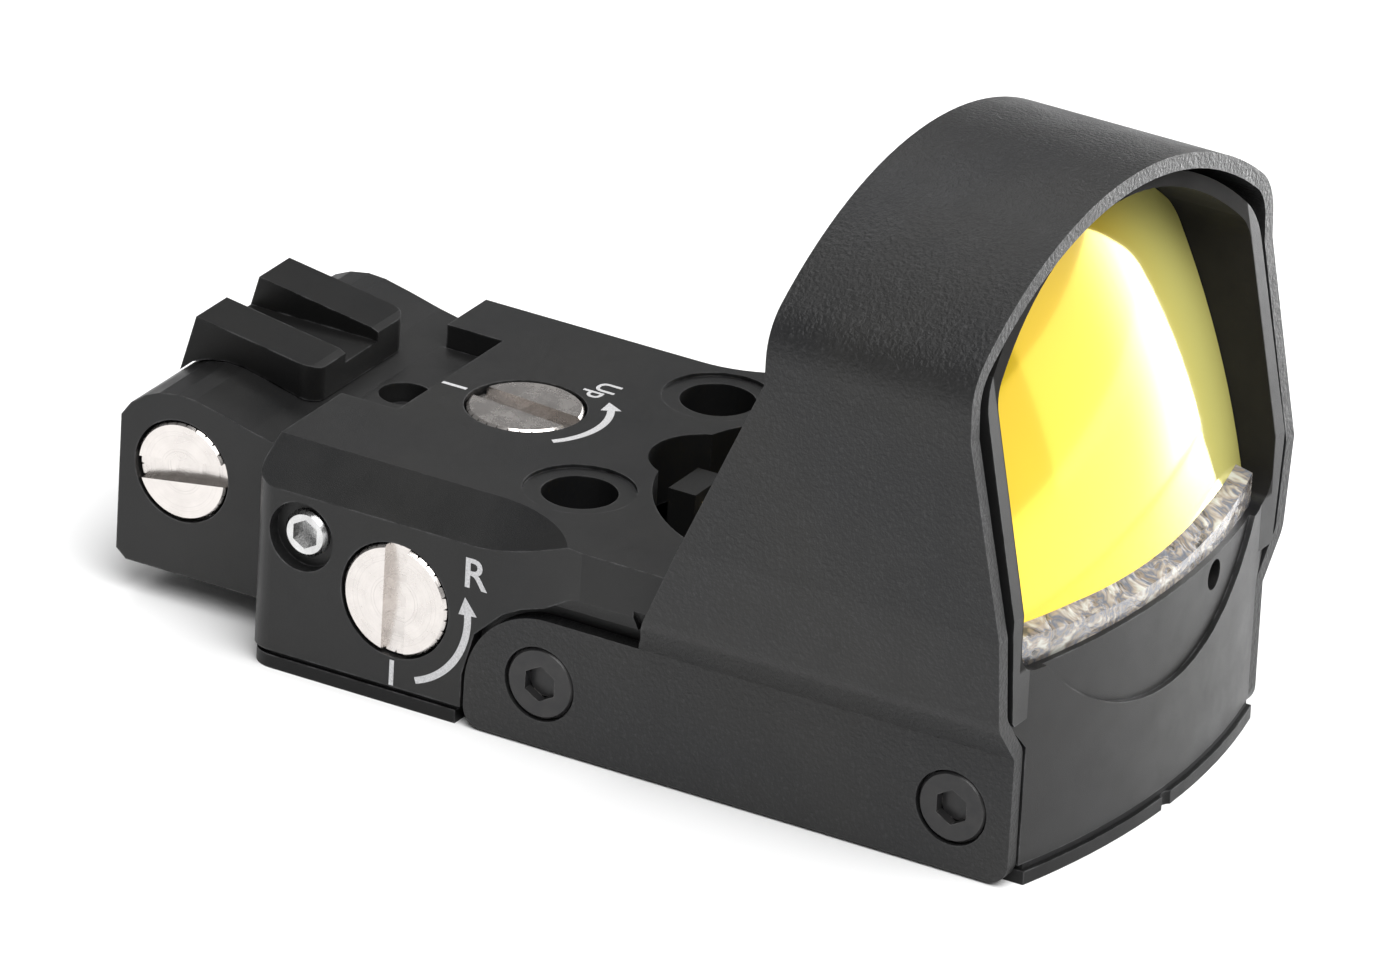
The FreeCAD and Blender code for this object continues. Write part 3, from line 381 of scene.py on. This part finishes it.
def finish_nodes():
    """Gives every CAD node its finish. Springs, pins and balls aren't in the table, and are plain steel."""
    body = anodised("body_black", 0.055 * MM, 0.010 * MM, 0.40, tone=0.008, reflect=0.36, tunnel_shade=True)
    hood = anodised("hood_black", 0.24 * MM, 0.075 * MM, 0.43, tone=0.013, reflect=0.38, wear=0.2)
    small = anodised("fitting_black", 0.06 * MM, 0.010 * MM, 0.42, tone=0.006, reflect=0.20)
    screw = black_steel("screw_black")
    finishes = {
        "housing": body,
        "shroud": hood,
        "base_plate": small,
        "rear_sight_block": body,
        "rear_sight_leaf": small,
        "lens": coated_lens("amber_lens"),
        "lens_adhesive": adhesive("clear_bead"),
        "shroud_screws": screw,
        "base_screws": screw,
        "rear_sight_screws": screw,
        "windage_lock_screw": metal("lock_screw_nickel", (0.70, 0.70, 0.70), 0.25),
        "rear_sight_lock_screw": screw,
        "windage_dial": turned("windage_dial_silver", "windage_dial", 0, 0.24, 0.09 * MM),
        "elevation_dial": turned("elevation_dial_silver", "elevation_dial", 2, 0.24, 0.09 * MM),
        "rear_sight_screw": turned("sight_screw_silver", "rear_sight_screw", 0, 0.22, 0.08 * MM),
        "base_gasket": rubber("gasket_rubber"),
        "windage_seal": rubber("seal_rubber"),
        "elevation_seal": rubber("seal_rubber_up"),
        "control_button": rubber("button_rubber"),
        "sensor_window": clear_window("sensor_window_clear"),
        "emitter_chip": lamp_epoxy("emitter_epoxy"),
        "light_sensor": lamp_epoxy("sensor_epoxy"),
        "coin_cell": metal("cell_steel", (0.66, 0.66, 0.65), 0.3),
        "contact_upper": metal("contact_gold", CONTACT_GOLD, 0.28),
        "contact_lower": metal("contact_gold_low", CONTACT_GOLD, 0.28),
        "emitter_carrier": moulded("carrier_black", (0.005, 0.005, 0.005), 0.6),
        "elevation_slide": metal("slide_brass", (0.34, 0.24, 0.12), 0.40),
        "circuit_board": circuit("board_green"),
        "sensor_strip": circuit("strip_green"),
        "controller_chip": moulded("chip_black", (0.014, 0.014, 0.015), 0.45),
        "switch_case": moulded("switch_black", (0.018, 0.018, 0.018), 0.4),
    }
    steel = metal("spring_steel", (0.55, 0.55, 0.56), 0.22)
    for name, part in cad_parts.items():
        for place in part.material_slots:
            place.material = finishes.get(name, steel)


# ---------------------------------------------------------------- printed marks

def place_flat(name, points, faces, to_world, finish):
    """A thin printed shape: faces over flat points, given a little thickness."""
    mesh = bpy.data.meshes.new(name)
    count = len(points)
    lifted = [to_world(u, v, lift) for lift in (0.0, PRINT_THICKNESS) for u, v in points]
    top = [tuple(i + count for i in face) for face in faces]
    under = [tuple(reversed(face)) for face in faces]
    edges = [edge for face in faces for edge in zip(face, face[1:] + face[:1])]
    rim = [(a, b, b + count, a + count) for a, b in edges if (b, a) not in edges]
    mesh.from_pydata(lifted, [], under + top + rim)
    mesh.validate()
    mesh.materials.append(finish)
    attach(add(name, mesh), "body")


def curved_arrow(name, radius, start, end, to_world, finish):
    """A turning arrow round a dial: an arc from start up to end degrees, then a pointed head."""
    width, head, head_length = 0.40 * MM, 1.08 * MM, 0.93
    steps = 40

    def polar(distance, angle):
        return (distance * math.cos(angle), distance * math.sin(angle))

    points = []
    for i in range(steps + 1):
        share = i / steps
        angle = math.radians(start + (end - start) * share)
        half = width * (0.45 + 0.05 * min(1.0, share * 2.2))
        points += [polar(radius - half, angle), polar(radius + half, angle)]
    faces = [(2 * i, 2 * i + 1, 2 * i + 3, 2 * i + 2) for i in range(steps)]
    root = math.radians(end)
    tip = math.radians(end + math.degrees(head * head_length / radius))
    base = len(points)
    points += [polar(radius - head / 2, root), polar(radius + head / 2, root), polar(radius, tip)]
    faces.append((base, base + 1, base + 2))
    place_flat(name, points, faces, to_world, finish)


def stroke(name, low, high, width, to_world, finish):
    """A straight upright tick from low to high."""
    half = width / 2
    points = [(-half, low), (half, low), (half, high), (-half, high)]
    place_flat(name, points, [(0, 1, 2, 3)], to_world, finish)


def lettering(name, text, height, left, base, to_world, finish):
    """Generic direction letters, laid flat, with their left foot at (left, base)."""
    capital_height = 0.70
    curve = bpy.data.curves.new(name + "_outline", "FONT")
    curve.body = text
    curve.offset = 0.012
    curve.extrude = 0.004
    outline = add(name + "_outline", curve)
    bpy.context.view_layer.update()
    mesh = bpy.data.meshes.new_from_object(outline.evaluated_get(bpy.context.evaluated_depsgraph_get()))
    bpy.data.objects.remove(outline)
    mesh.name = name
    scale = height / capital_height
    for vertex in mesh.vertices:
        u, v, w = vertex.co
        vertex.co = to_world(left + u * scale, base + v * scale, PRINT_THICKNESS if w > 0 else 0.0)
    mesh.materials.clear()
    mesh.materials.append(finish)
    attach(add(name, mesh), "body")


def marks():
    """Index ticks, turning arrows and direction letters beside the two dials."""
    white = paint("mark_white")
    side = middle("windage_dial")
    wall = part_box("windage_dial")[0].x + 0.05 * MM
    deck = middle("elevation_dial")
    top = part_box("elevation_dial")[1].z - 0.02 * MM

    def on_side(u, v, lift):
        """u runs towards the front, v upwards, from the windage dial's axis."""
        return Vector((wall - lift, side.y - u, side.z + v))

    def on_deck(u, v, lift):
        """u runs towards -X, v towards the front, from the elevation dial's axis, as the user reads it."""
        return Vector((deck.x - u, deck.y - v, top + lift))

    stroke("windage_index_mark", -4.77 * MM, -3.35 * MM, 0.26 * MM, on_side, white)
    curved_arrow("windage_arrow_mark", 4.34 * MM, -71, 5.0, on_side, white)
    lettering("windage_letter_mark", "R", 1.65 * MM, 3.92 * MM, 1.98 * MM, on_side, white)
    stroke("elevation_index_mark", -5.0 * MM, -3.55 * MM, 0.24 * MM, on_deck, white)
    curved_arrow("elevation_arrow_mark", 4.40 * MM, 49, 119, on_deck, white)
    lettering("elevation_letter_mark", "Up", 1.2 * MM, -5.0 * MM, 1.75 * MM, on_deck, white)


# ---------------------------------------------------------------- camera, light and floor

def camera():
    """The photograph's viewpoint, from a camera fit. Its lengths are in millimetres."""
    fit_scale = 1.045
    azimuth, elevation, roll = math.radians(61.02), math.radians(24.91), math.radians(3.174)
    to_left, below = 5.99, 0.972
    distance = 869.2
    target = Vector((0.0, -7.61, 13.206)) * MM
    ground = math.cos(elevation)
    back = Vector((-math.sin(azimuth) * ground, -math.cos(azimuth) * ground, math.sin(elevation)))
    level = Vector((math.cos(azimuth), -math.sin(azimuth), 0.0))
    upright = back.cross(level)
    across = -to_left * math.cos(roll) + below * math.sin(roll)
    down = to_left * math.sin(roll) + below * math.cos(roll)
    place = target + (level * across - upright * down) * fit_scale * MM + back * distance * MM
    right = level * math.cos(roll) + upright * math.sin(roll)
    over = upright * math.cos(roll) - level * math.sin(roll)
    data = bpy.data.cameras.new("camera")
    data.sensor_width = 36.0
    data.lens = 438.46
    data.clip_start = 0.05
    data.clip_end = 20.0
    made = add("camera", data)
    made.matrix_world = Matrix.Translation(place) @ Matrix((right, over, back)).transposed().to_4x4()
    bpy.context.scene.camera = made


def shine_from(made, direction):
    """Turns a light so that it shines from a direction, back towards the object."""
    made.rotation_euler = direction.to_track_quat("Z", "Y").to_euler()


def overhead(direction, power, spread):
    """A broad soft source high on the camera's side, spread degrees across."""
    data = bpy.data.lights.new("overhead", "SUN")
    data.energy = power
    data.angle = math.radians(spread)
    shine_from(add("overhead", data), Vector(direction))


def sheen(direction, away, size, glow):
    """A soft square panel above the far rear side, which rakes across the hood's crown."""
    data = bpy.data.lights.new("hood_sheen", "AREA")
    data.size = size
    data.energy = glow * math.pi * size * size
    made = add("hood_sheen", data)
    made.location = Vector(direction).normalized() * away
    shine_from(made, Vector(direction))
    made.visible_camera = False


def card(name, start, end, stand, glow):
    """An upright glowing card that faces the lens, between two bearings measured from +X towards -Y."""
    away, low, high = stand
    tall = high - low
    lens = middle("lens")
    corners = []
    for bearing in (start, end):
        angle = math.radians(bearing)
        corners.append(Vector((lens.x + away * math.cos(angle), lens.y - away * math.sin(angle), 0.0)))
    wide = (corners[0] - corners[1]).length
    centre = (corners[0] + corners[1]) / 2 + Vector((0.0, 0.0, (low + high) / 2))
    data = bpy.data.lights.new(name, "AREA")
    data.shape = "RECTANGLE"
    data.size = wide
    data.size_y = tall
    data.energy = glow * math.pi * wide * tall
    made = add(name, data)
    made.location = centre
    shine_from(made, centre - Vector((lens.x, lens.y, centre.z)))
    made.visible_camera = False


def lights():
    """A white world, the overhead source, the hood's panel, and cards that the lens and front face reflect."""
    world = bpy.data.worlds.new("studio")
    world.use_nodes = True
    background = world.node_tree.nodes["Background"]
    background.inputs["Color"].default_value = (1.0, 1.0, 1.0, 1.0)
    background.inputs["Strength"].default_value = 0.19
    bpy.context.scene.world = world
    overhead((-0.30, -0.45, 0.84), power=4.3, spread=60)
    sheen((0.45, 0.44, 0.77), away=0.9, size=0.34, glow=3.9)

    # Each stand is a distance from the lens, and the heights of the card's lower and upper edge.
    wall_stand = (0.60, 0.0, 0.35)
    card("front_wall", 50, 22, wall_stand, glow=0.7)
    card("front_wall_bright", 22, -14, wall_stand, glow=3.2)

    # A row of narrow cards grades the lens from dim amber to white.
    lens_stand = (0.09, 0.001, 0.040)
    dim, climb, bend = 0.75, 7.5, 3.4
    first, turn, steps = 44, 2, 12
    for i in range(steps):
        start = first - turn * i
        share = (i + 0.5) / steps
        card("lens_card_%d" % i, start, start - turn, lens_stand, glow=dim + climb * share ** bend)
    card("lens_card_bright", 20, 4, lens_stand, glow=10.0)
    card("lens_card_amber", 66, first, lens_stand, glow=dim)


def lay_floor():
    """A plain pale floor."""
    half = 3.0
    mesh = bpy.data.meshes.new("floor")
    corners = [(-half, -half, 0.0), (half, -half, 0.0), (half, half, 0.0), (-half, half, 0.0)]
    mesh.from_pydata(corners, [], [(0, 1, 2, 3)])
    s = Shader("floor_white", Specular_IOR_Level=0.1)
    s.set("Base Color", s.mix(s.noise(0.2), (0.88, 0.88, 0.88), (0.90, 0.90, 0.90)))
    s.set("Roughness", 0.9)
    mesh.materials.append(s.material)
    floor = add("floor", mesh)


bpy.context.scene.view_settings.view_transform = "Standard"
finish_nodes()
marks()
camera()
lights()
lay_floor()
